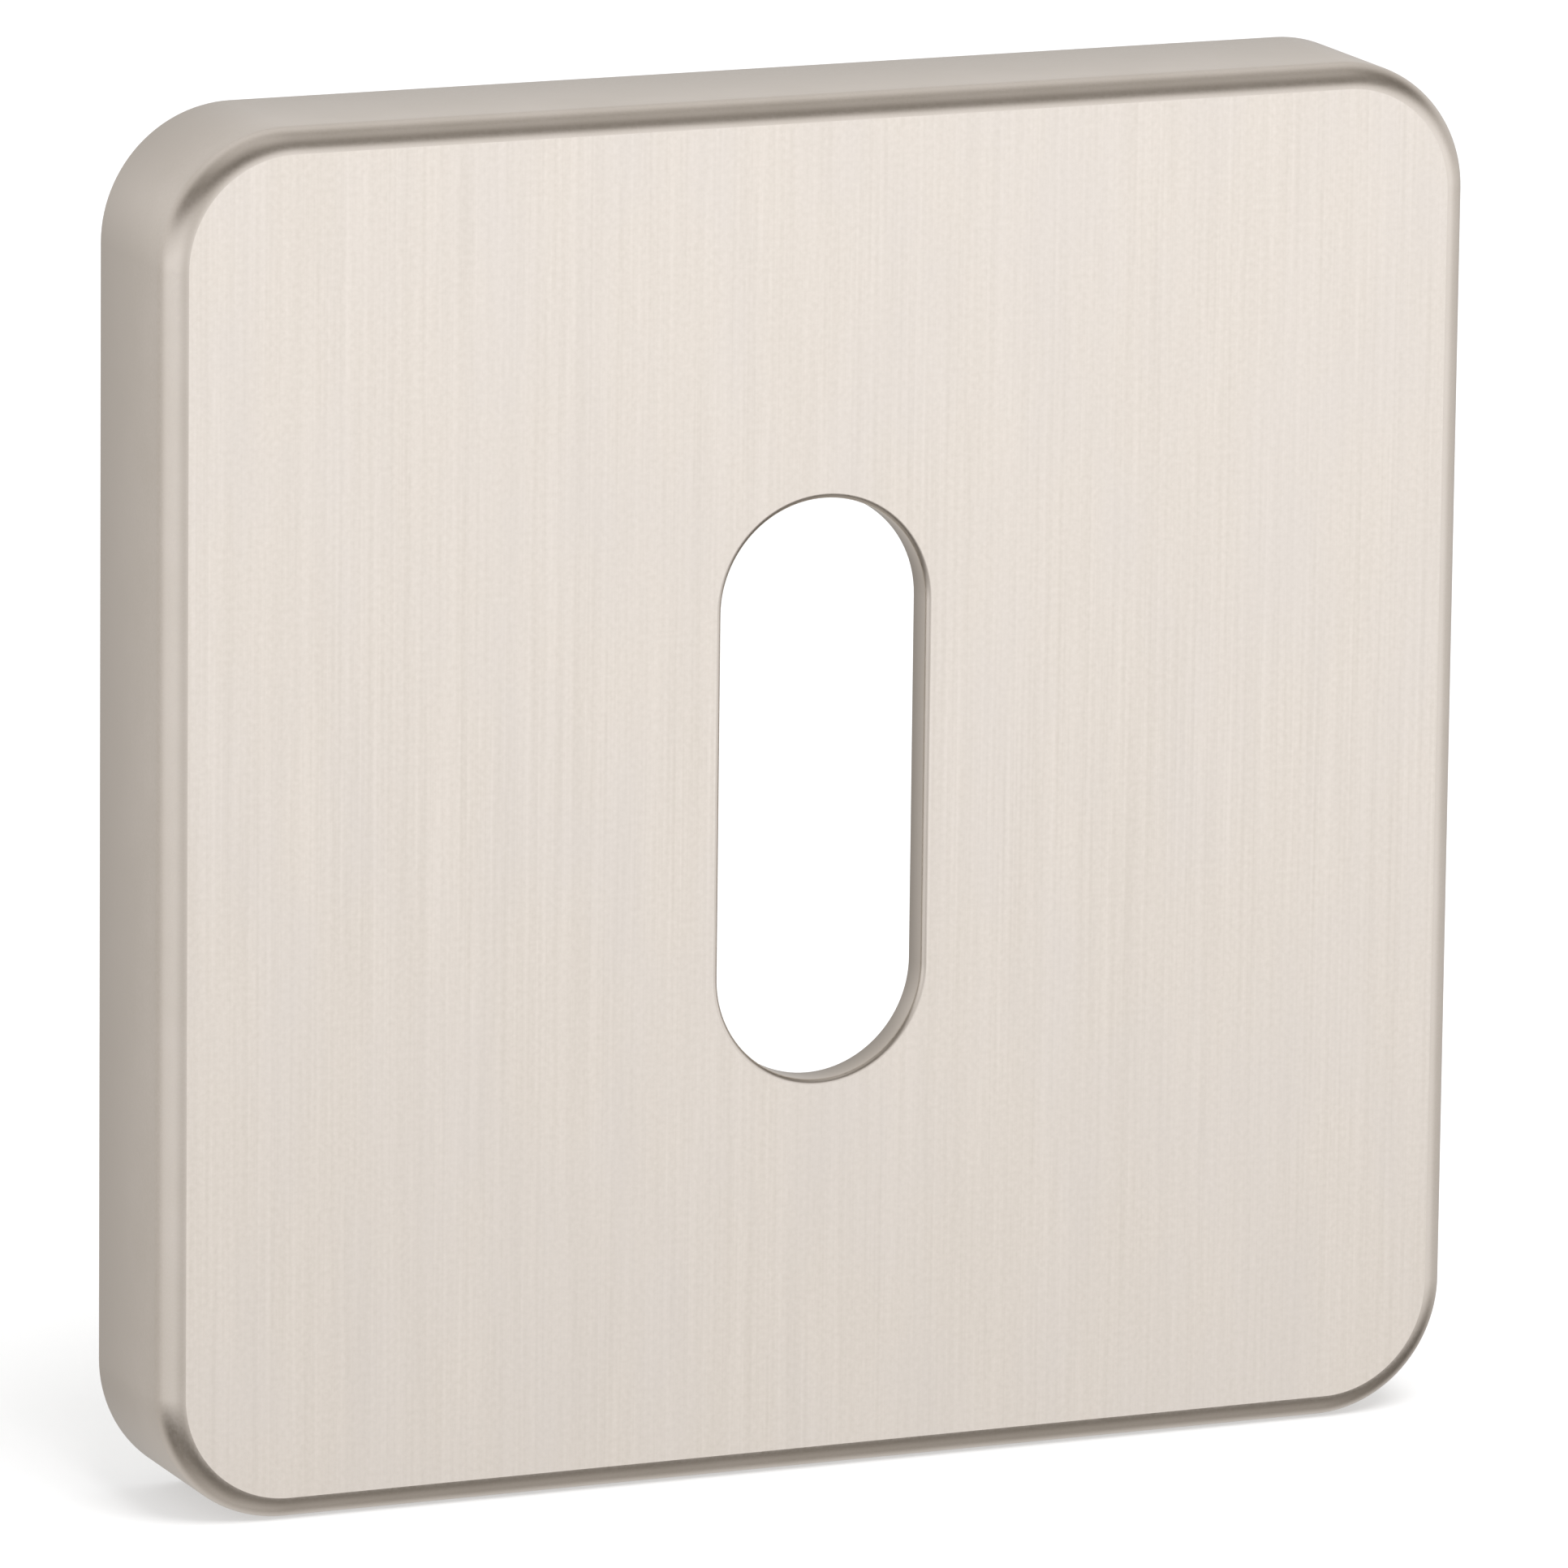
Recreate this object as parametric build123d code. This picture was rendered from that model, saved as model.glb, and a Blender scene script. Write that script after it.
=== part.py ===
from build123d import *
import os

# Square key rosette for a door: a cast cover cap that snaps over a moulded base plate.
# Millimetres. The door's surface is the plane Y = 0, +Z is up and the face looks along -Y.
# The origin is the middle of the back, and heights are counted from the door towards the face.

# Cover cap, outside
cap_width = 52.0  # across the flats, both ways
cap_depth = 7.0  # from the door to the face
cap_corner_radius = 5.0
cap_edge_round = 1.0  # between the face and the side walls
cap_rim_round = 0.2  # blunted outer edge next to the door
rim_clearance = 0.1  # the rim stands off the door, so that the base plate seats first

# Cover cap, inside
cap_face_thickness = 1.2
cap_wall_thickness = 1.2  # at the rim
cavity_round = 0.5  # between the inside of the face and the walls
cavity_draft = 1.0  # degrees, so that the casting leaves its core

# Key slot through the face
slot_width = 8.2
slot_length = 22.0
slot_edge_round = 0.2

# Catch beads along the top and bottom walls, inside the cap
bead_radius = 0.5
bead_length = 10.0
bead_inset = 1.6  # from the rim to the bead's middle

# Base plate: a shallow tray with its open side under the cap's face
plate_clearance = 0.25  # all round, inside the cap's walls
plate_thickness = 2.0
border_thickness = 1.4  # upstand round the tray
border_headroom = 0.6  # from the upstand to the inside of the face
aperture_margin = 5.0  # the tray's opening clears the key slot by this much all round
collar_thickness = 1.4  # upstand round the opening
post_radius = 2.5  # corner posts that carry the inside of the face
post_inset = 5.5  # from the tray's edge to a post's middle
rib_thickness = 1.2
rib_headroom = 1.2

# Two countersunk wood screws hold the base plate on the door, level with the key slot
screw_hole_radius = 2.2
screw_head_radius = 4.2
screw_inset = 5.55  # from the tray's edge to a screw's axis
screw_headroom = 1.8  # from a screw boss to the inside of the face
screw_boss_wall = 1.0  # round the countersink

# Snap tongues at the top and bottom of the tray, each with a barb that hooks behind a catch bead
tongue_width = 12.0
tongue_thickness = 1.0
tongue_side_gap = 1.0  # frees the tongue from the upstand
tongue_headroom = 1.0
tongue_clearance = 0.4  # between the tongue and the bead
barb_land = 0.3  # flat crest of the barb
barb_clearance = 0.15  # between the barb and the cap's wall
snap_clearance = 0.1  # between the barb and the bead

# Relief on the back of the tray, which leaves lands that sit on the door
relief_depth = 0.6
relief_corner = 0.8
land_width = 2.6  # round the tray's edge, the opening and the screw holes

# Sizes that follow
cavity_width = cap_width - 2 * cap_wall_thickness
cavity_corner_radius = cap_corner_radius - cap_wall_thickness
cavity_depth = cap_depth - cap_face_thickness
plate_width = cavity_width - 2 * plate_clearance
plate_corner_radius = cavity_corner_radius - plate_clearance
border_height = cavity_depth - border_headroom
aperture_width = slot_width + 2 * aperture_margin
aperture_length = slot_length + 2 * aperture_margin
post_place = plate_width / 2 - post_inset
rib_height = cavity_depth - rib_headroom
screw_place = plate_width / 2 - screw_inset
screw_boss_radius = screw_head_radius + screw_boss_wall
screw_boss_height = cavity_depth - screw_headroom
tongue_height = cavity_depth - tongue_headroom
tongue_outer = cavity_width / 2 - bead_radius - tongue_clearance
bead_height = rim_clearance + bead_inset
barb_height = bead_height + bead_radius + snap_clearance
barb_tip = cavity_width / 2 - barb_clearance


def square(width, corner_radius):
    return RectangleRounded(width, width, corner_radius)


def upright_slot(length, width):
    return SlotOverall(length, width, rotation=90)


def raise_up(sketch, start, end, draft=0.0):
    """Extrudes a sketch, drawn as seen from the front, between two heights above the door."""
    return extrude(Plane.XZ.offset(start) * sketch, end - start, taper=draft)


def front_edges(solid):
    return solid.faces().sort_by(Axis.Y).first.edges()


def back_edges(solid):
    return solid.faces().sort_by(Axis.Y).last.edges()


def make_cover_cap():
    outside = raise_up(square(cap_width, cap_corner_radius), rim_clearance, cap_depth)
    outside = fillet(front_edges(outside), cap_edge_round)
    outside = fillet(back_edges(outside), cap_rim_round)
    cavity = raise_up(square(cavity_width, cavity_corner_radius), rim_clearance, cavity_depth, cavity_draft)
    cavity = fillet(front_edges(cavity), cavity_round)
    cap = outside - cavity

    cap -= raise_up(upright_slot(slot_length, slot_width), 0, cap_depth)
    face = cap.faces().sort_by(Axis.Y).first
    cap = fillet(face.inner_wires().edges(), slot_edge_round)

    for side in (-1, 1):
        bead = Cylinder(bead_radius, bead_length, rotation=(0, 90, 0))
        cap += Pos(0, -bead_height, side * cavity_width / 2) * bead
    return cap


def make_tray():
    """The plate with its upstand, cut back at the top and bottom where the snap tongues stand."""
    tray = raise_up(square(plate_width, plate_corner_radius), 0, border_height, cavity_draft)
    inside_width = plate_width - 2 * border_thickness
    inside = square(inside_width, plate_corner_radius - border_thickness)
    tray -= raise_up(inside, plate_thickness, border_height)

    window_width = tongue_width + 2 * tongue_side_gap
    for side in (-1, 1):
        for inner_edge, start in ((tongue_outer, 0), (inside_width / 2, plate_thickness)):
            window_depth = cavity_width / 2 - inner_edge
            window = Rectangle(window_width, window_depth)
            window = Pos(0, side * (inner_edge + window_depth / 2)) * window
            tray -= raise_up(window, start, border_height)
    return tray


def make_stiffeners():
    """Collar, diagonal ribs, corner posts and screw bosses that stand on the plate."""
    collar = upright_slot(aperture_length + 2 * collar_thickness, aperture_width + 2 * collar_thickness)
    stiffeners = raise_up(collar, 0, border_height)
    rib_start = (aperture_length - aperture_width) / 2
    for across in (-1, 1):
        boss = Pos(across * screw_place, 0) * Circle(screw_boss_radius)
        stiffeners += raise_up(boss, 0, screw_boss_height)
        for up in (-1, 1):
            corner = (across * post_place, up * post_place)
            rib = trace(Line((0, up * rib_start), corner), rib_thickness)
            stiffeners += raise_up(rib, 0, rib_height)
            stiffeners += raise_up(Pos(corner) * Circle(post_radius), 0, cavity_depth)
    return stiffeners


def make_tongue():
    """The top snap tongue: a thin upright strip and the barb on its outer side."""
    strip = Rectangle(tongue_width, tongue_thickness)
    strip = Pos(0, tongue_outer - tongue_thickness / 2) * strip
    barb = Polygon(
        (-barb_height, tongue_outer),
        (-barb_height, barb_tip),
        (-barb_height - barb_land, barb_tip),
        (-tongue_height, tongue_outer),
        align=None,
    )
    return raise_up(strip, 0, tongue_height) + extrude(Plane.YZ * barb, bead_length / 2, both=True)


def make_relief():
    """The four shallow pockets on the back, each rounded at its corners."""
    pockets = square(plate_width - 2 * land_width, plate_corner_radius)
    pockets -= upright_slot(aperture_length + 2 * land_width, aperture_width + 2 * land_width)
    pockets -= Rectangle(aperture_width, plate_width)
    pockets -= Rectangle(plate_width, 2 * (screw_hole_radius + land_width))
    pockets = raise_up(pockets, 0, relief_depth)
    return fillet(pockets.edges().filter_by(Axis.Y), relief_corner)


def make_base_plate():
    plate = make_tray() + make_stiffeners()
    tongue = make_tongue()
    plate += tongue
    plate += mirror(tongue, about=Plane.XY)
    plate -= raise_up(upright_slot(aperture_length, aperture_width), 0, cavity_depth)

    countersink = screw_head_radius - screw_hole_radius
    for across in (-1, 1):
        plate -= raise_up(Pos(across * screw_place, 0) * Circle(screw_hole_radius), 0, cavity_depth)
        cone = Cone(screw_hole_radius, screw_head_radius, countersink)
        plate -= Plane.XZ * Pos(across * screw_place, 0, screw_boss_height - countersink / 2) * cone
    return plate - make_relief()


os.makedirs("parts", exist_ok=True)
pieces = {"cover_cap": make_cover_cap(), "base_plate": make_base_plate()}
for name, piece in pieces.items():
    piece.label = name
    export_step(piece, f"parts/{name}.step")
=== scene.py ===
from math import atan2, cos, hypot, pi, radians, sin, tan

import bmesh
import bpy
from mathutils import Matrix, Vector


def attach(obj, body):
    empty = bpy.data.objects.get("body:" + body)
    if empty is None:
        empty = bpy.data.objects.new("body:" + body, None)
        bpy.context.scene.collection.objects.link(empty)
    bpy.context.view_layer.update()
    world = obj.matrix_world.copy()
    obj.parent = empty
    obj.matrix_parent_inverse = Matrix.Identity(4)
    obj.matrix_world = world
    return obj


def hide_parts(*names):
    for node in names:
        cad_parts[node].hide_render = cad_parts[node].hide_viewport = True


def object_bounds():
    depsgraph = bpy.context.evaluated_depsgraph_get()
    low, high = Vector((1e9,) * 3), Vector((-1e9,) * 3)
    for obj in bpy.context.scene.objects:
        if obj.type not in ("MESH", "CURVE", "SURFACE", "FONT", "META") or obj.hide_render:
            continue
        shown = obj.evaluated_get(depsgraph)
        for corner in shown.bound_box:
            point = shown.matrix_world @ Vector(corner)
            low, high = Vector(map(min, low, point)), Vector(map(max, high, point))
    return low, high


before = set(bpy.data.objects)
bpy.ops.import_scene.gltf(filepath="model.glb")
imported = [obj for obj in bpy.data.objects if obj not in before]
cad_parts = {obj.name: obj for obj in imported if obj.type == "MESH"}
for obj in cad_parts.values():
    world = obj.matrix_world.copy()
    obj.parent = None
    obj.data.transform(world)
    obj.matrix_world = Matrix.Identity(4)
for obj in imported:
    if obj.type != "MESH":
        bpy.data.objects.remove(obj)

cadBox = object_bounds()
# Settings are in millimetres and degrees, and the scene is in metres
mm = 0.001
near = 0.002 * mm  # how close a point has to be to count as on a plane
parallel = 0.999  # how much of an edge lies along an axis that it counts as running along
rodSides = 72
slotEndSteps = 28  # in each quarter round of a slot's ends
square = 0.9999  # how much of a face's normal lies along the depth where the face is square to it
noiseLow, noiseHigh = 0.3, 0.7  # what a noise texture mostly gives
noiseDetail = 2.0  # how many finer layers a noise texture holds


def linearColour(hexText):
    # sRGB hex to the linear values that the shaders take
    values = [int(hexText[i:i + 2], 16) / 255 for i in (1, 3, 5)]
    linear = [v / 12.92 if v <= 0.04045 else ((v + 0.055) / 1.055) ** 2.4 for v in values]
    return (*linear, 1.0)


def addNode(tree, kind, settings=None, inputs=None):
    node = tree.nodes.new(kind)
    for name, value in (settings or {}).items():
        setattr(node, name, value)
    for socket, value in (inputs or {}).items():
        if isinstance(value, bpy.types.NodeSocket):
            tree.links.new(value, node.inputs[socket])
        else:
            node.inputs[socket].default_value = value
    return node


def calculate(tree, operation, *values):
    node = addNode(tree, "ShaderNodeMath", {"operation": operation}, dict(enumerate(values)))
    return node.outputs[0]


def mixNumbers(tree, share, first, second):
    node = addNode(tree, "ShaderNodeMix", {"data_type": "FLOAT"}, {0: share, 2: first, 3: second})
    return node.outputs[0]


def mixColours(tree, share, first, second):
    node = addNode(tree, "ShaderNodeMix", {"data_type": "RGBA"}, {0: share, 6: first, 7: second})
    return node.outputs[2]


def evenNoise(tree, place, size, detail=noiseDetail):
    # noise with grains of one size in mm
    noise = addNode(tree, "ShaderNodeTexNoise", inputs={
        "Vector": place.outputs["Object"], "Scale": 1 / (size * mm), "Detail": detail})
    return noise.outputs["Fac"]


def uprightNoise(tree, place, width, length, fineness):
    # noise drawn out along the height, with its width and length in mm
    stretch = addNode(tree, "ShaderNodeMapping", inputs={
        "Vector": place.outputs["Object"],
        "Scale": (1 / (width * mm), 1 / (width * mm), 1 / (length * mm))})
    noise = addNode(tree, "ShaderNodeTexNoise", inputs={
        "Vector": stretch.outputs["Vector"], "Scale": 1.0, "Detail": noiseDetail, "Roughness": fineness})
    return noise.outputs["Fac"]


def setStops(ramp, stops):
    # stops are (place from 0 to 1, linear colour), from left to right
    elements = ramp.color_ramp.elements
    while len(elements) < len(stops):
        elements.new(1.0)
    for element, (place, colour) in zip(elements, stops):
        element.position = place
        element.color = colour


def newMaterial(name):
    material = bpy.data.materials.new(name)
    material.use_nodes = True
    material.node_tree.nodes.clear()
    return material, material.node_tree


def pick(kind, test):
    # in edit mode, selects the faces or edges that pass the test and nothing else
    mesh = bpy.context.edit_object.data
    bpy.ops.mesh.select_mode(type="FACE" if kind == "faces" else "EDGE")
    bpy.ops.mesh.select_all(action="DESELECT")
    shape = bmesh.from_edit_mesh(mesh)
    for item in getattr(shape, kind):
        item.select_set(test(item))
    shape.select_flush_mode()
    bmesh.update_edit_mesh(mesh)


def inPlane(item, axis, place):
    return all(abs(v.co[axis] - place) < near for v in item.verts)


def runsAlong(edge, axis):
    run = edge.verts[1].co - edge.verts[0].co
    return run.length > near and abs(run[axis]) > parallel * run.length


def within(item, halfWidth, halfHeight):
    return all(abs(v.co.x) < halfWidth + near and abs(v.co.z) < halfHeight + near for v in item.verts)


def selectOnly(*pieces):
    # object mode with these pieces selected, or none, and the last one active
    if bpy.context.mode != "OBJECT":
        bpy.ops.object.mode_set(mode="OBJECT")
    bpy.ops.object.select_all(action="DESELECT")
    for piece in pieces:
        piece.select_set(True)
        bpy.context.view_layer.objects.active = piece


def newBlock(low, high):
    # a box between two corners, in mm, left in edit mode
    selectOnly()
    bpy.ops.mesh.primitive_cube_add(size=1, location=[(a + b) / 2 * mm for a, b in zip(low, high)])
    bpy.ops.transform.resize(value=[(b - a) * mm for a, b in zip(low, high)])
    bpy.ops.object.transform_apply(location=True, rotation=True, scale=True)
    bpy.ops.object.mode_set(mode="EDIT")
    return bpy.context.object


def newRod(across, radius, back, front, up=0.0):
    # a rod along the depth, in mm, left in edit mode
    selectOnly()
    bpy.ops.mesh.primitive_cylinder_add(
        vertices=rodSides, radius=radius * mm, depth=(back - front) * mm,
        location=(across * mm, (back + front) / 2 * mm, up * mm), rotation=(pi / 2, 0, 0))
    bpy.ops.object.transform_apply(location=True, rotation=True, scale=True)
    bpy.ops.object.mode_set(mode="EDIT")
    return bpy.context.object


def newSlot(width, length, back, front):
    # an upright block with round ends, in mm, left in edit mode
    piece = newBlock((-width / 2, front, -length / 2), (width / 2, back, length / 2))
    roundOff(lambda e: runsAlong(e, 1), width / 2, slotEndSteps)
    bpy.ops.mesh.select_all(action="SELECT")
    bpy.ops.mesh.remove_doubles(threshold=near)
    return piece


def roundOff(test, radius, steps):
    pick("edges", test)
    bpy.ops.mesh.bevel(offset=radius * mm, segments=steps, affect="EDGES")


def mirrored(piece, sides):
    # a copy with its own mesh, turned over and with its faces outwards again
    selectOnly(piece)
    bpy.ops.object.duplicate(linked=False)
    copy = bpy.context.object
    copy.scale = sides
    bpy.ops.object.transform_apply(location=True, rotation=True, scale=True)
    bpy.ops.object.mode_set(mode="EDIT")
    bpy.ops.mesh.select_all(action="SELECT")
    bpy.ops.mesh.normals_make_consistent(inside=False)
    bpy.ops.object.mode_set(mode="OBJECT")
    return copy


def smoothOver(piece, angle):
    # flat parts stay flat and the rounds stay smooth
    selectOnly(piece)
    bpy.ops.object.shade_smooth_by_angle(angle=radians(angle))
    weighted = piece.modifiers.new("weighted", "WEIGHTED_NORMAL")
    weighted.keep_sharp = True
    bpy.ops.object.modifier_apply(modifier=weighted.name)


def joinTo(piece, other, operation):
    # a boolean, applied, after which the second shape is thrown away
    selectOnly(piece)
    modifier = piece.modifiers.new("join", "BOOLEAN")
    modifier.operation = operation
    modifier.solver = "EXACT"
    modifier.object = other
    bpy.ops.object.modifier_apply(modifier=modifier.name)
    bpy.data.objects.remove(other)


# The cap: a cast shell with a drafted cavity, rounded edges and a key slot
cap = {
    "width": 52.0, "front": -7.0, "rim": -0.1,
    "cornerRound": 5.0, "cornerSteps": 28,
    "edgeRound": 1.0, "edgeSteps": 20, "ground": 0.006,  # what the brushing belt took off the face
    "rimRound": 0.2, "rimSteps": 3,
    "wall": 1.2, "faceThickness": 1.2, "draft": 1.0, "cavityRound": 0.5, "cavitySteps": 5,
    "slotWidth": 8.2, "slotLength": 22.0, "slotRound": 0.2, "slotSteps": 6,
    "beadRadius": 0.5, "beadLength": 10.0, "beadPlace": -1.7, "beadSides": 40,
    "beadEnd": 0.15, "beadSteps": 3,
    "smoothAngle": 32.0,
}


def insideWalls(item):
    # nearer to the key slot than the middle of the cap's side walls is
    straight = (cap["width"] / 2 - cap["cornerRound"]) * mm
    reach = (cap["cornerRound"] - cap["wall"] / 2) * mm
    past = [(max(abs(v.co.x) - straight, 0), max(abs(v.co.z) - straight, 0)) for v in item.verts]
    return all(hypot(*corner) < reach for corner in past)


def cutKeySlot(front, floorPlane):
    # a sheet with round ends, pushed in step by step round its edge and then straight through the face
    edge = cap["slotRound"] * mm
    flare = (cap["slotWidth"] / 2 * mm + edge, cap["slotLength"] / 2 * mm + edge)
    bpy.ops.mesh.select_all(action="DESELECT")
    bpy.ops.mesh.primitive_plane_add(size=2 * flare[1], location=(0, front, 0), rotation=(pi / 2, 0, 0))
    bpy.ops.transform.resize(value=(flare[0] / flare[1], 1, 1))
    bpy.ops.mesh.bevel(offset=flare[0], segments=cap["cornerSteps"], affect="VERTICES")
    bpy.ops.mesh.select_all(action="SELECT")
    bpy.ops.mesh.remove_doubles(threshold=near)
    pick("faces", lambda f: inPlane(f, 1, front) and within(f, *flare))
    step = pi / 2 / cap["slotSteps"]
    for i in range(cap["slotSteps"]):
        bpy.ops.mesh.inset(
            thickness=edge * (sin((i + 1) * step) - sin(i * step)),
            depth=-edge * (cos(i * step) - cos((i + 1) * step)))
    bpy.ops.mesh.extrude_region_move(TRANSFORM_OT_translate={"value": (0, floorPlane - front - edge, 0)})
    pick("faces", lambda f: inPlane(f, 1, front) or inPlane(f, 1, floorPlane))
    bpy.ops.mesh.delete(type="ONLY_FACE")
    for plane in (front, floorPlane):
        pick("edges", lambda e: inPlane(e, 1, plane) and insideWalls(e))
        bpy.ops.mesh.bridge_edge_loops()
    bpy.ops.mesh.select_all(action="SELECT")
    bpy.ops.mesh.normals_make_consistent(inside=False)


def makeBead(side):
    # a catch bead along the inside of the top or bottom wall
    wallPlace = side * (cap["width"] / 2 - cap["wall"]) * mm
    selectOnly()
    bpy.ops.mesh.primitive_cylinder_add(
        vertices=cap["beadSides"], radius=cap["beadRadius"] * mm, depth=cap["beadLength"] * mm,
        location=(0, cap["beadPlace"] * mm, wallPlace), rotation=(0, pi / 2, 0))
    bead = bpy.context.object
    bpy.ops.object.transform_apply(location=True, rotation=True, scale=True)
    bpy.ops.object.mode_set(mode="EDIT")
    ends = cap["beadLength"] / 2 * mm
    roundOff(lambda e: inPlane(e, 0, ends) or inPlane(e, 0, -ends), cap["beadEnd"], cap["beadSteps"])
    return bead


def makeCap():
    front, rim = cap["front"] * mm, cap["rim"] * mm
    floorPlane = front + cap["faceThickness"] * mm
    half, cast = cap["width"] / 2, cap["front"] - cap["ground"]

    # the four corners, then the round along the face and the blunted rim
    piece = newBlock((-half, cast, -half), (half, cap["rim"], half))
    piece.name = "cover_cap_shell"
    roundOff(lambda e: runsAlong(e, 1), cap["cornerRound"], cap["cornerSteps"])
    roundOff(lambda e: inPlane(e, 1, cast * mm), cap["edgeRound"], cap["edgeSteps"])
    roundOff(lambda e: inPlane(e, 1, rim), cap["rimRound"], cap["rimSteps"])

    # the belt leaves a crisp line where the flat face meets the round
    bpy.ops.mesh.select_all(action="SELECT")
    bpy.ops.mesh.bisect(
        plane_co=(0, front, 0), plane_no=(0, -1, 0), threshold=near / 10, use_fill=True, clear_outer=True)
    pick("edges", lambda e: inPlane(e, 1, front))
    bpy.ops.mesh.mark_sharp()

    # the cavity narrows a little on its way in, and is rounded where it meets the inside of the face
    pick("faces", lambda f: inPlane(f, 1, rim))
    bpy.ops.mesh.inset(thickness=(cap["wall"] - cap["rimRound"]) * mm)
    cavityDepth = rim - floorPlane
    bpy.ops.mesh.inset(thickness=cavityDepth * tan(radians(cap["draft"])), depth=-cavityDepth)
    roundOff(lambda e: inPlane(e, 1, floorPlane) and insideWalls(e), cap["cavityRound"], cap["cavitySteps"])

    cutKeySlot(front, floorPlane)
    for side in (-1, 1):
        joinTo(piece, makeBead(side), "UNION")
    bpy.ops.object.mode_set(mode="EDIT")
    bpy.ops.mesh.select_all(action="SELECT")
    bpy.ops.uv.cube_project(cube_size=cap["width"] * mm)  # on the face, U runs across the brush lines
    smoothOver(piece, cap["smoothAngle"])
    return piece


# The base plate: a moulded tray with its open side under the cap's face.
# Depths are negative, and the door is at 0.
plate = {
    "width": 49.1, "corner": 3.55, "cornerSteps": 16,
    "floor": -2.0, "front": -5.2, "border": 1.4, "draft": 1.0,
    "apertureWidth": 18.2, "apertureLength": 32.0, "collar": 1.4,
    "postRadius": 2.5, "postPlace": 19.05, "postFront": -5.8,
    "ribThickness": 1.2, "ribFront": -4.6, "ribStart": 6.9,
    "screwPlace": 19.0, "holeRadius": 2.2, "headRadius": 4.2, "bossRadius": 5.2, "bossFront": -4.0,
    "tongueWidth": 12.0, "tongueThickness": 1.0, "tongueFront": -4.8, "tongueOuter": 23.9, "tongueGap": 1.0,
    "barbTip": 24.65, "barbBack": -2.3, "barbLand": 0.3, "barbLength": 10.0,
    "reliefDepth": 0.6, "land": 2.6, "reliefCorner": 0.8, "reliefSteps": 6,
    "pocketSteps": 10,  # in a pocket's outer corner
    "sharpCorner": 30.0,  # degrees, and what is blunter counts as smooth
    "root": -1.0,  # what stands on the tray starts inside its floor
    "clear": 1.0,  # how far a cutting shape stands out of what it cuts
    "edge": 0.2, "edgeSteps": 3, "smoothAngle": 35.0,
}


def makeTray():
    half, front = plate["width"] / 2, plate["front"]
    lean = -front * tan(radians(plate["draft"]))
    tray = newBlock((-half, front, -half), (half, 0, half))
    tray.name = "base_plate_tray"
    roundOff(lambda e: runsAlong(e, 1), plate["corner"], plate["cornerSteps"])
    pick("faces", lambda f: inPlane(f, 1, front * mm))
    bpy.ops.transform.resize(value=(1 - lean / half, 1, 1 - lean / half))
    bpy.ops.mesh.inset(thickness=(plate["border"] - lean) * mm)
    depth = (plate["floor"] - front) * mm
    bpy.ops.mesh.extrude_region_move(TRANSFORM_OT_translate={"value": (0, depth, 0)})
    sharp = radians(plate["sharpCorner"])
    roundOff(
        lambda e: (inPlane(e, 1, front * mm) or inPlane(e, 1, 0)) and e.calc_face_angle(0) > sharp,
        plate["edge"], plate["edgeSteps"])
    return tray


def makeRib(across, up):
    start, end = Vector((0, 0, up * plate["ribStart"])), Vector((across, 0, up)) * plate["postPlace"]
    run, half, front = end - start, plate["ribThickness"] / 2, plate["ribFront"]
    rib = newBlock((0, front, -half), (run.length, plate["root"], half))
    roundOff(lambda e: inPlane(e, 1, front * mm) and runsAlong(e, 0), plate["edge"], plate["edgeSteps"])
    bpy.ops.object.mode_set(mode="OBJECT")
    rib.rotation_euler.y = -atan2(run.z, run.x)
    rib.location = start * mm
    bpy.ops.object.transform_apply(location=True, rotation=True, scale=True)
    return rib


def makeTongue():
    outer, front, tip = plate["tongueOuter"], plate["tongueFront"], plate["barbTip"]
    half, inner = plate["tongueWidth"] / 2, plate["tongueOuter"] - plate["tongueThickness"]
    strip = newBlock((-half, front, inner), (half, plate["floor"] + plate["edge"] / 2, outer))
    roundOff(lambda e: inPlane(e, 1, front * mm) or runsAlong(e, 1), plate["edge"], plate["edgeSteps"])
    half, back, land = plate["barbLength"] / 2, plate["barbBack"], plate["barbBack"] - plate["barbLand"]
    barb = newBlock((-half, land, inner + plate["edge"]), (half, back, tip))
    ramp = front + plate["edge"]
    pick("faces", lambda f: inPlane(f, 1, land * mm))
    bpy.ops.mesh.extrude_region_move(TRANSFORM_OT_translate={"value": (0, (ramp - land) * mm, 0)})
    pick("edges", lambda e: inPlane(e, 1, ramp * mm) and inPlane(e, 2, tip * mm))
    bpy.ops.transform.translate(value=(0, 0, (outer - tip) * mm))
    joinTo(strip, barb, "UNION")
    return strip


def makeScrewHole(place):
    # a hole with its countersink, a little longer than what it cuts
    hole, over = plate["holeRadius"], plate["edge"] / 2
    sink = plate["headRadius"] - hole
    neck = plate["bossFront"] + sink
    rod = newRod(place, hole, plate["clear"], neck)
    pick("faces", lambda f: inPlane(f, 1, neck * mm))
    bpy.ops.mesh.extrude_region_move(TRANSFORM_OT_translate={"value": (0, -(sink + over) * mm, 0)})
    wider = (hole + sink + over) / hole
    bpy.ops.transform.resize(value=(wider, 1, wider), center_override=(place * mm, 0, 0))
    return rod


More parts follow.
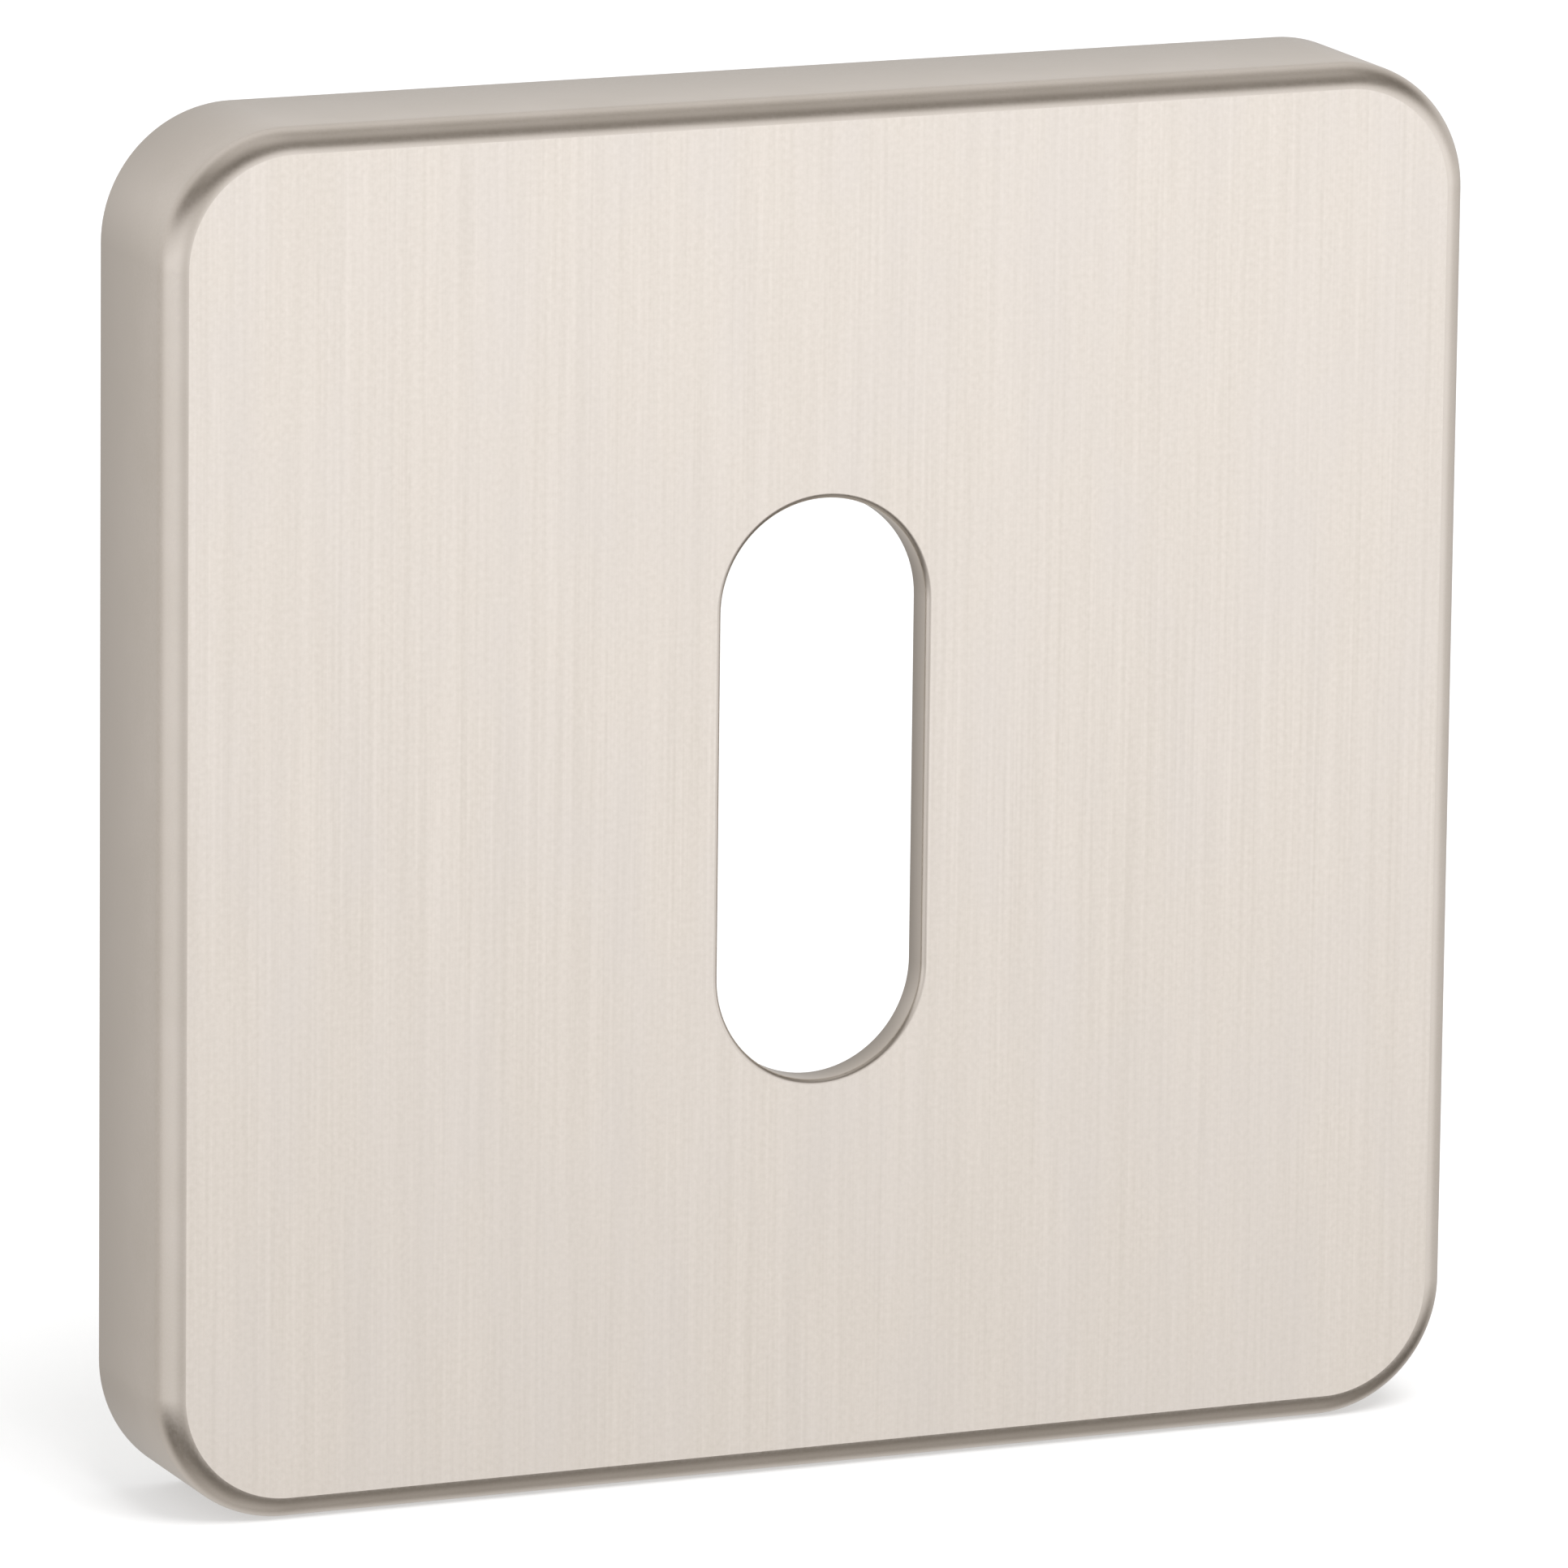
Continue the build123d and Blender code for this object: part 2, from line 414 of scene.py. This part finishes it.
def makePocket():
    # one of the four shallow pockets on the back
    low = (plate["apertureWidth"] / 2, -plate["reliefDepth"], plate["holeRadius"] + plate["land"])
    edge = plate["width"] / 2 - plate["land"]
    pocket = newBlock(low, (edge, plate["clear"], edge))
    roundOff(
        lambda e: inPlane(e, 0, edge * mm) and inPlane(e, 2, edge * mm),
        plate["corner"], plate["pocketSteps"])
    border = 2 * plate["land"]
    collar = newSlot(plate["apertureWidth"] + border, plate["apertureLength"] + border,
                     2 * plate["clear"], -2 * plate["reliefDepth"])
    joinTo(pocket, collar, "DIFFERENCE")
    bpy.ops.object.mode_set(mode="EDIT")
    sharp = radians(plate["sharpCorner"])
    roundOff(
        lambda e: runsAlong(e, 1) and e.calc_face_angle(0) > sharp,
        plate["reliefCorner"], plate["reliefSteps"])
    bpy.ops.object.mode_set(mode="OBJECT")
    return pocket


def makePlate():
    tray, clear, top = makeTray(), plate["clear"], plate["postFront"]
    windowHalf = plate["tongueWidth"] / 2 + plate["tongueGap"]
    inside = plate["width"] / 2 - plate["border"]
    for side in (-1, 1):
        for inner, back in ((plate["tongueOuter"], clear), (inside - plate["edge"], plate["floor"])):
            low, high = sorted((side * inner, side * (plate["width"] / 2 + clear)))
            joinTo(tray, newBlock((-windowHalf, top, low), (windowHalf, back, high)), "DIFFERENCE")

    # what stands on the tray
    width, length, border = plate["apertureWidth"], plate["apertureLength"], 2 * plate["collar"]
    collar = newSlot(width + border, length + border, plate["root"], plate["front"])
    roundOff(lambda e: inPlane(e, 1, plate["front"] * mm), plate["edge"], plate["edgeSteps"])
    joinTo(tray, collar, "UNION")
    for across in (-1, 1):
        boss = newRod(across * plate["screwPlace"], plate["bossRadius"], plate["root"], plate["bossFront"])
        roundOff(lambda e: inPlane(e, 1, plate["bossFront"] * mm), plate["edge"], plate["edgeSteps"])
        joinTo(tray, boss, "UNION")
        for up in (-1, 1):
            joinTo(tray, makeRib(across, up), "UNION")
            post = newRod(across * plate["postPlace"], plate["postRadius"], plate["root"], top,
                          up * plate["postPlace"])
            roundOff(lambda e: inPlane(e, 1, top * mm), plate["edge"], plate["edgeSteps"])
            joinTo(tray, post, "UNION")
    tongue = makeTongue()
    joinTo(tray, mirrored(tongue, (1, 1, -1)), "UNION")
    joinTo(tray, tongue, "UNION")

    # what is cut out of it
    joinTo(tray, newSlot(width, length, clear, top - clear), "DIFFERENCE")
    for across in (-1, 1):
        joinTo(tray, makeScrewHole(across * plate["screwPlace"]), "DIFFERENCE")
    pocket = makePocket()
    for sides in ((1, 1, 1), (-1, 1, 1), (1, 1, -1), (-1, 1, -1)):
        joinTo(tray, mirrored(pocket, sides), "DIFFERENCE")
    bpy.data.objects.remove(pocket)

    # slivers that the cuts left behind
    bpy.ops.object.mode_set(mode="EDIT")
    bpy.ops.mesh.select_all(action="SELECT")
    bpy.ops.mesh.remove_doubles(threshold=near)
    bpy.ops.mesh.dissolve_degenerate(threshold=near)
    smoothOver(tray, plate["smoothAngle"])
    return tray


# Nickel plate over cast zinc, brushed upright on the face: pale warm metal whose fine lines spread
# a reflection sideways, so that the face looks silky and even
brushed = {
    "dark": "#E3DAD0", "pale": "#EEE5DC",
    "roughness": (0.276, 0.288), "anisotropic": 0.5,
    # short lines, long lines and grain: width and length in mm, share of the whole.
    # Real brush lines are finer than 0.1 mm, and are drawn as coarse as the render can show.
    "layers": [(0.15, 9.0, 0.31), (0.15, 30.0, 0.23), (0.2, 0.2, 0.46)],
    "fineness": 0.6,  # how much the finer noise in each layer counts
    "spread": (0.35, 0.65),  # what the layers mostly add up to
    # faint cooler patches: width and length in mm, where the noise starts and ends, and the most they show
    "cool": "#E4DDD9", "patch": (3.0, 8.0), "patchNoise": (0.4, 0.7), "patchShare": 0.25,
    "patchFineness": 0.5,
    "bumpHeight": 0.0004,  # mm
}


def brushedNickel():
    material, tree = newMaterial("nickel_plate_brushed_upright")
    low, high = brushed["spread"]
    place = addNode(tree, "ShaderNodeTexCoord")
    lines = 0.0
    for width, length, share in brushed["layers"]:
        noise = uprightNoise(tree, place, width, length, brushed["fineness"])
        lines = calculate(tree, "MULTIPLY_ADD", noise, share, lines)
    tone = addNode(tree, "ShaderNodeValToRGB", inputs={"Fac": lines})
    setStops(tone, [(low, linearColour(brushed["dark"])), (high, linearColour(brushed["pale"]))])
    patches = uprightNoise(tree, place, *brushed["patch"], brushed["patchFineness"])
    cooled = addNode(tree, "ShaderNodeMapRange", inputs={
        "Value": patches, "From Min": brushed["patchNoise"][0],
        "From Max": brushed["patchNoise"][1], "To Max": brushed["patchShare"]})
    colour = mixColours(
        tree, cooled.outputs["Result"], tone.outputs["Color"], linearColour(brushed["cool"]))
    gloss = addNode(tree, "ShaderNodeMapRange", inputs={
        "Value": lines, "From Min": low, "From Max": high,
        "To Min": brushed["roughness"][1], "To Max": brushed["roughness"][0]})
    bump = addNode(tree, "ShaderNodeBump", inputs={
        "Height": lines, "Strength": 1.0, "Distance": brushed["bumpHeight"] * mm})
    across = addNode(tree, "ShaderNodeTangent", {"direction_type": "UV_MAP"})
    metal = addNode(tree, "ShaderNodeBsdfPrincipled", inputs={
        "Base Color": colour, "Metallic": 1.0, "Roughness": gloss.outputs["Result"],
        "Anisotropic": brushed["anisotropic"], "Normal": bump.outputs["Normal"],
        "Tangent": across.outputs["Tangent"]})
    addNode(tree, "ShaderNodeOutputMaterial", inputs={"Surface": metal.outputs["BSDF"]})
    return material


# The same plate where it was only blasted fine before plating: a soft even sheen with a faint grain.
# Its colour is painted darker towards the rim, a painted shade that stands in for the shade near the door.
satin = {
    # the last colour is a painted shade for the rim, and the depths below say where it is fullest and where
    # it has faded out
    "dark": "#DFD6CC", "pale": "#E9E0D8", "paintedShade": "#CEC6BE",
    "paintedShadeAt": -0.1, "shadeEndsAt": -5.5,  # mm, depths
    "roughness": (0.28, 0.34),
    "grain": 0.12, "cloud": 3.0, "cloudShare": 0.5, "cloudDetail": 3.0,
    "bumpHeight": 0.0005,  # mm
}
# Inside the key slot the colour is painted darker still, a painted shade that is darkest along the slot's
# back edge
slotEdge = dict(satin, paintedShade="#B0A8A0", paintedShadeAt=-5.8, shadeEndsAt=-7.2)


def satinNickel(name, finish):
    material, tree = newMaterial(name)
    place = addNode(tree, "ShaderNodeTexCoord")
    grain = evenNoise(tree, place, finish["grain"])
    cloud = evenNoise(tree, place, finish["cloud"], finish["cloudDetail"])
    mixed = mixNumbers(tree, finish["cloudShare"], grain, cloud)
    tone = addNode(tree, "ShaderNodeValToRGB", inputs={"Fac": mixed})
    setStops(tone, [(noiseLow, linearColour(finish["dark"])), (noiseHigh, linearColour(finish["pale"]))])
    parts = addNode(tree, "ShaderNodeSeparateXYZ", inputs={"Vector": place.outputs["Object"]})
    # painted shade: towards the rim the colour goes over from its own tone to a darker one
    unshadedShare = addNode(tree, "ShaderNodeMapRange", inputs={
        "Value": parts.outputs["Y"],
        "From Min": finish["paintedShadeAt"] * mm, "From Max": finish["shadeEndsAt"] * mm})
    colour = mixColours(
        tree, unshadedShare.outputs["Result"], linearColour(finish["paintedShade"]), tone.outputs["Color"])
    gloss = addNode(tree, "ShaderNodeMapRange", inputs={
        "Value": grain, "From Min": noiseLow, "From Max": noiseHigh,
        "To Min": finish["roughness"][0], "To Max": finish["roughness"][1]})
    bump = addNode(tree, "ShaderNodeBump", inputs={
        "Height": grain, "Strength": 1.0, "Distance": finish["bumpHeight"] * mm})
    metal = addNode(tree, "ShaderNodeBsdfPrincipled", inputs={
        "Base Color": colour, "Metallic": 1.0, "Roughness": gloss.outputs["Result"],
        "Normal": bump.outputs["Normal"]})
    addNode(tree, "ShaderNodeOutputMaterial", inputs={"Surface": metal.outputs["BSDF"]})
    return material


# Natural nylon, moulded in a spark-eroded tool: milky, a little warm and dull, with a fine even grain
nylon = {
    "dark": "#C8C4BA", "pale": "#D6D2C8",
    "roughness": (0.42, 0.58), "ior": 1.53,
    "grain": 0.2, "flow": 6.0, "flowShare": 0.35,
    "bumpHeight": 0.012, "bumpStrength": 0.6,  # mm, share
}


def mouldedNylon():
    material, tree = newMaterial("nylon_moulded_grain")
    place = addNode(tree, "ShaderNodeTexCoord")
    grain = evenNoise(tree, place, nylon["grain"])
    flow = evenNoise(tree, place, nylon["flow"])
    mixed = mixNumbers(tree, nylon["flowShare"], grain, flow)
    tone = addNode(tree, "ShaderNodeValToRGB", inputs={"Fac": mixed})
    setStops(tone, [(noiseLow, linearColour(nylon["dark"])), (noiseHigh, linearColour(nylon["pale"]))])
    gloss = addNode(tree, "ShaderNodeMapRange", inputs={
        "Value": grain, "From Min": noiseLow, "From Max": noiseHigh,
        "To Min": nylon["roughness"][0], "To Max": nylon["roughness"][1]})
    bump = addNode(tree, "ShaderNodeBump", inputs={
        "Height": grain, "Strength": nylon["bumpStrength"],
        "Distance": nylon["bumpHeight"] * mm})
    plastic = addNode(tree, "ShaderNodeBsdfPrincipled", inputs={
        "Base Color": tone.outputs["Color"], "Roughness": gloss.outputs["Result"], "IOR": nylon["ior"],
        "Normal": bump.outputs["Normal"]})
    addNode(tree, "ShaderNodeOutputMaterial", inputs={"Surface": plastic.outputs["BSDF"]})
    return material


capPiece = makeCap()
capPiece.data.materials.clear()
capPiece.data.materials.append(satinNickel("nickel_plate_satin_blasted", satin))
capPiece.data.materials.append(brushedNickel())
# the slot's walls take the satin finish with a stronger painted shade towards the back
capPiece.data.materials.append(satinNickel("nickel_plate_painted_shade_in_slot", slotEdge))
slotReach = Vector((cap["slotWidth"] / 2 + cap["slotRound"], cap["slotLength"] / 2 + cap["slotRound"])) * mm
for face in capPiece.data.polygons:
    x, y, z = face.center
    if face.normal.y < -square and abs(y - cap["front"] * mm) < near:
        face.material_index = 1
    elif abs(x) < slotReach.x and abs(z) < slotReach.y and abs(face.normal.y) < square:
        face.material_index = 2
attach(capPiece, "root")
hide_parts("cover_cap")
print("cover cap:", len(capPiece.data.polygons), "faces")

platePiece = makePlate()
platePiece.data.materials.clear()
platePiece.data.materials.append(mouldedNylon())
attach(platePiece, "root")
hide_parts("base_plate")
print("base plate:", len(platePiece.data.polygons), "faces")


# Where the photograph was taken from
view = {
    "azimuth": -23.073, "elevation": 12.439, "roll": 0.665,  # degrees
    "distance": 567.31, "target": (1.431, 0.0, -1.323),  # mm
    "focal": 347.575, "sensor": 36.0,
    "nearest": 10.0, "furthest": 20000.0,  # mm, what the camera draws
}


def placeCamera():
    across, up = radians(view["azimuth"]), radians(view["elevation"])
    back = Vector((sin(across) * cos(up), -cos(across) * cos(up), sin(up)))
    data = bpy.data.cameras.new("photo_view")
    data.sensor_width = data.sensor_height = view["sensor"]
    data.lens = view["focal"]
    data.clip_start, data.clip_end = view["nearest"] * mm, view["furthest"] * mm
    camera = bpy.data.objects.new("photo_view", data)
    bpy.context.scene.collection.objects.link(camera)
    camera.location = Vector(view["target"]) * mm + back * view["distance"] * mm
    turn = back.to_track_quat("Z", "Y").to_matrix()
    roll = radians(view["roll"])
    right, top = turn.col[0].copy(), turn.col[1].copy()
    turn.col[0] = cos(roll) * right + sin(roll) * top
    turn.col[1] = cos(roll) * top - sin(roll) * right
    camera.rotation_euler = turn.to_euler()
    bpy.context.scene.camera = camera


placeCamera()
print("camera placed")


# A white floor and a pale studio tent.
# The number beside an angle is how bright the tent looks there, and 1 is white.
studio = {
    "floorSize": 4000.0,  # mm
    "floorColour": "#FFFFFF", "floorGlow": 0.45,
    "ambient": 0.85,
    # a bright band at eye level in front, a dark one above it and a dark one below
    "frontHeights": [(-90, 0.65), (-60, 0.4), (-45, 0.23), (-28, 0.1), (-14, 1.0), (-8, 1.3),
                     (4, 0.9), (12, 0.95), (28, 0.2), (45, 0.25), (60, 0.5), (90, 0.7)],
    "backHeights": [(-90, 0.65), (-45, 0.65), (-20, 0.5), (10, 0.73), (30, 0.6), (50, 0.75), (90, 0.7)],
    "turnsToBack": (-0.1, 0.6),  # along the depth, where the front's heights give way to the back's
    # brightest to the right of the front, and dimmer straight ahead and behind
    "round": [(-180, 0.6), (-95, 0.85), (-40, 0.95), (-8, 0.7), (4, 0.75), (15, 1.1),
              (35, 0.95), (50, 1.05), (80, 0.65), (150, 0.7), (180, 0.6)],
    "warmth": (0.955, 1.0, 1.063),  # powers of red, green and blue, so that what is dark is also warm
    "lampSize": 900.0, "lampDistance": 1500.0, "lampHeight": 62.0, "lampTurn": 10.0, "lampPower": 14.0,
}


def greyStops(stops, low, high):
    return [((angle - low) / (high - low), (value, value, value, 1.0)) for angle, value in stops]


def lightTent():
    world = bpy.data.worlds.new("studio_tent")
    bpy.context.scene.world = world
    world.use_nodes = True
    tree = world.node_tree
    tree.nodes.clear()
    direction = addNode(tree, "ShaderNodeTexCoord")
    parts = addNode(tree, "ShaderNodeSeparateXYZ", inputs={"Vector": direction.outputs["Generated"]})
    height = calculate(tree, "ARCSINE", parts.outputs["Z"])
    height = addNode(tree, "ShaderNodeMapRange", inputs={
        "Value": height, "From Min": -pi / 2, "From Max": pi / 2})
    forward = calculate(tree, "MULTIPLY", parts.outputs["Y"], -1.0)
    turn = calculate(tree, "ARCTAN2", parts.outputs["X"], forward)
    turn = addNode(tree, "ShaderNodeMapRange", inputs={
        "Value": turn, "From Min": -pi, "From Max": pi})
    ramps = {}
    for name, value, low, high in (("frontHeights", height, -90, 90), ("backHeights", height, -90, 90),
                                   ("round", turn, -180, 180)):
        ramps[name] = addNode(tree, "ShaderNodeValToRGB", inputs={"Fac": value.outputs["Result"]})
        setStops(ramps[name], greyStops(studio[name], low, high))
    front = calculate(
        tree, "MULTIPLY", ramps["frontHeights"].outputs["Color"], ramps["round"].outputs["Color"])
    rearward = addNode(tree, "ShaderNodeMapRange", {"interpolation_type": "SMOOTHSTEP"}, {
        "Value": parts.outputs["Y"],
        "From Min": studio["turnsToBack"][0], "From Max": studio["turnsToBack"][1]})
    tent = mixNumbers(tree, rearward.outputs["Result"], front, ramps["backHeights"].outputs["Color"])
    # reflections show the tent, the camera sees it as plain white, and all else gets an even light
    path = addNode(tree, "ShaderNodeLightPath")
    reflected = calculate(
        tree, "MAXIMUM", path.outputs["Is Glossy Ray"], path.outputs["Is Transmission Ray"])
    colour = addNode(tree, "ShaderNodeCombineColor")
    for channel, power in enumerate(studio["warmth"]):
        tree.links.new(calculate(tree, "POWER", tent, power), colour.inputs[channel])
    even = studio["ambient"]
    level = mixColours(tree, reflected, (even, even, even, 1.0), colour.outputs["Color"])
    level = mixColours(tree, path.outputs["Is Camera Ray"], level, (1.0, 1.0, 1.0, 1.0))
    light = addNode(tree, "ShaderNodeBackground", inputs={"Color": level, "Strength": 1.0})
    addNode(tree, "ShaderNodeOutputWorld", inputs={"Surface": light.outputs["Background"]})


def layFloor():
    selectOnly()
    bpy.ops.mesh.primitive_plane_add(size=studio["floorSize"] * mm, location=(0, 0, cadBox[0][2]))
    floor = bpy.context.object
    floor.name = "floor"
    bpy.ops.object.transform_apply(location=True, rotation=True, scale=True)
    material, tree = newMaterial("floor_white_paper")
    path = addNode(tree, "ShaderNodeLightPath")
    seen = calculate(tree, "MAXIMUM", path.outputs["Is Camera Ray"], path.outputs["Is Glossy Ray"])
    seen = calculate(tree, "MAXIMUM", seen, path.outputs["Is Transmission Ray"])
    share = calculate(tree, "MULTIPLY", seen, studio["floorGlow"])
    paper = addNode(tree, "ShaderNodeBsdfDiffuse", inputs={"Color": linearColour(studio["floorColour"])})
    glow = addNode(tree, "ShaderNodeEmission", inputs={"Strength": 1.0})
    mixed = addNode(tree, "ShaderNodeMixShader", inputs={
        0: share, 1: paper.outputs["BSDF"], 2: glow.outputs["Emission"]})
    addNode(tree, "ShaderNodeOutputMaterial", inputs={"Surface": mixed.outputs["Shader"]})
    floor.data.materials.append(material)
    floor.visible_glossy = False  # the metal shows the tent, whose lower half stands for the floor


def hangLamp():
    across, up = radians(studio["lampTurn"]), radians(studio["lampHeight"])
    toward = Vector((sin(across) * cos(up), -cos(across) * cos(up), sin(up)))
    data = bpy.data.lights.new("soft_box", "AREA")
    data.shape = "DISK"
    data.size = studio["lampSize"] * mm
    data.energy = studio["lampPower"]
    lamp = bpy.data.objects.new("soft_box", data)
    bpy.context.scene.collection.objects.link(lamp)
    lamp.location = toward * studio["lampDistance"] * mm
    lamp.rotation_euler = toward.to_track_quat("Z", "Y").to_euler()
    lamp.visible_glossy = False


lightTent()
layFloor()
hangLamp()
bpy.context.scene.view_settings.view_transform = "Standard"
print("studio lit")
